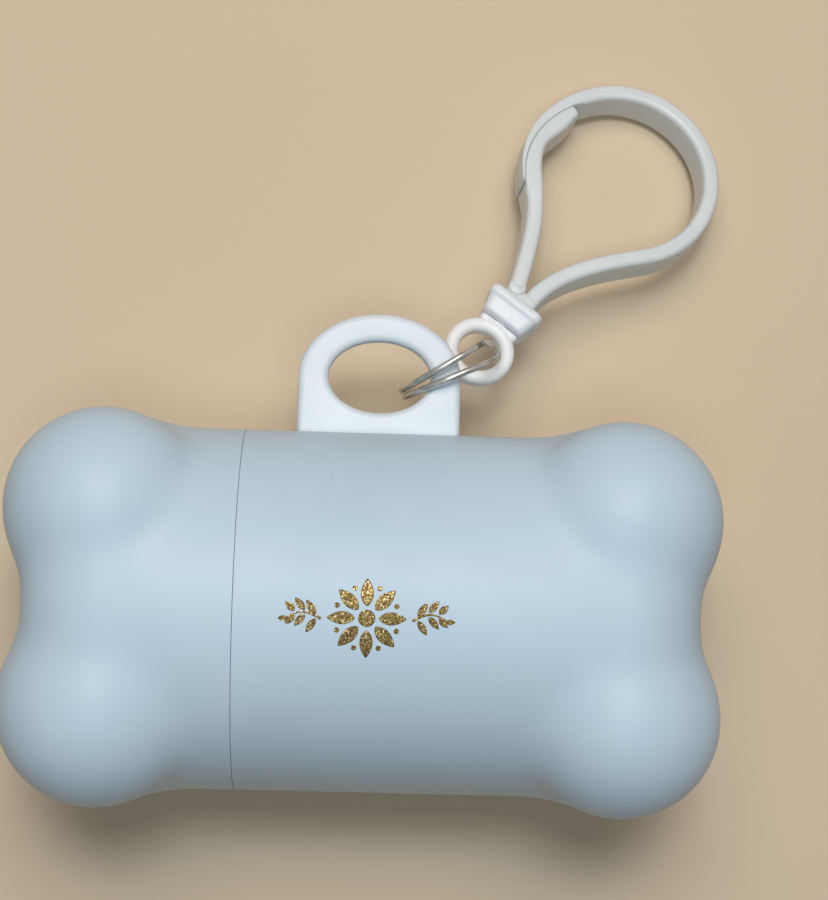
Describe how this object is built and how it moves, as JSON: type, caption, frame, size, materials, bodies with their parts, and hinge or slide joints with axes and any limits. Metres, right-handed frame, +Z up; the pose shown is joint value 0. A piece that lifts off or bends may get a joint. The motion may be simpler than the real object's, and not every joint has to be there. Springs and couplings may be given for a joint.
{
  "type": "dog waste bag dispenser",
  "caption": "Bone-shaped dispenser with a screw cap, a bag slot, a hanging lug, a split ring and a swivel snap hook; it holds a roll of waste bags.",
  "frame": {"origin": "on the resting surface, under the middle of the bone", "axes": "+X along the bone towards the barrel end, -X towards the screw cap, +Y towards the hanging lug, +Z up from the resting surface"},
  "size_m": [0.0869, 0.0929, 0.0434],
  "materials": {
    "shell_blue": "soft-touch matte",
    "lug_white": "satin moulded",
    "ring_steel": "nickel-plated wire",
    "foil_gold": "hot-stamped foil",
    "hook_plastic": "natural translucent moulding",
    "core_paper": "wound paper tube",
    "bag_film": "thin wound film"
  },
  "bodies": {
    "barrel": {"barrel_shell": "shell_blue", "hanging_lug": "lug_white"},
    "core": {"roll_core": "core_paper"},
    "cap": {"cap_shell": "shell_blue"},
    "bags": {"bag_roll": "bag_film"},
    "ring": {"split_ring": "ring_steel"},
    "eye": {"swivel_eye": "hook_plastic"},
    "hook": {"hook_collar": "lug_white", "hook_body": "hook_plastic"},
    "gate": {"hook_gate": "hook_plastic"}
  },
  "joints": [
    {"name": "cap_travel", "type": "slide", "parent": "barrel", "child": "core", "axis": [-1, 0, 0], "range_m": [0, 0.01]},
    {"name": "cap_turn", "type": "hinge", "parent": "core", "child": "cap", "pos_m": [-0.0143, 0, 0.0217], "axis": [-1, 0, 0], "range_deg": [0, 450]},
    {"name": "bag_spin", "type": "hinge", "parent": "core", "child": "bags", "pos_m": [0, 0, 0.0217], "axis": [1, 0, 0], "continuous": true},
    {"name": "ring_swing", "type": "hinge", "parent": "barrel", "child": "ring", "pos_m": [0.00942, 0.0292, 0.0208], "axis": [0.4682, -0.8806, -0.0732], "range_deg": [-45, 50]},
    {"name": "eye_swing", "type": "hinge", "parent": "ring", "child": "eye", "pos_m": [0.01381, 0.03182, 0.0146], "axis": [0.1048, 0.2491, 0.9628], "range_deg": [-30, 40]},
    {"name": "hook_swivel", "type": "hinge", "parent": "eye", "child": "hook", "pos_m": [0.01388, 0.03276, 0.0146], "axis": [0.5861, 0.7666, -0.2622], "continuous": true},
    {"name": "gate_flex", "type": "hinge", "parent": "hook", "child": "gate", "pos_m": [0.01839, 0.04063, 0.01207], "axis": [-0.1048, -0.2491, -0.9628], "range_deg": [0, 25], "stiffness_Nm_per_rad": 0.02}
  ],
  "couplings": [
    {"joint": "cap_travel", "follows": "cap_turn", "m_per_rad": 0.0012732}
  ]
}
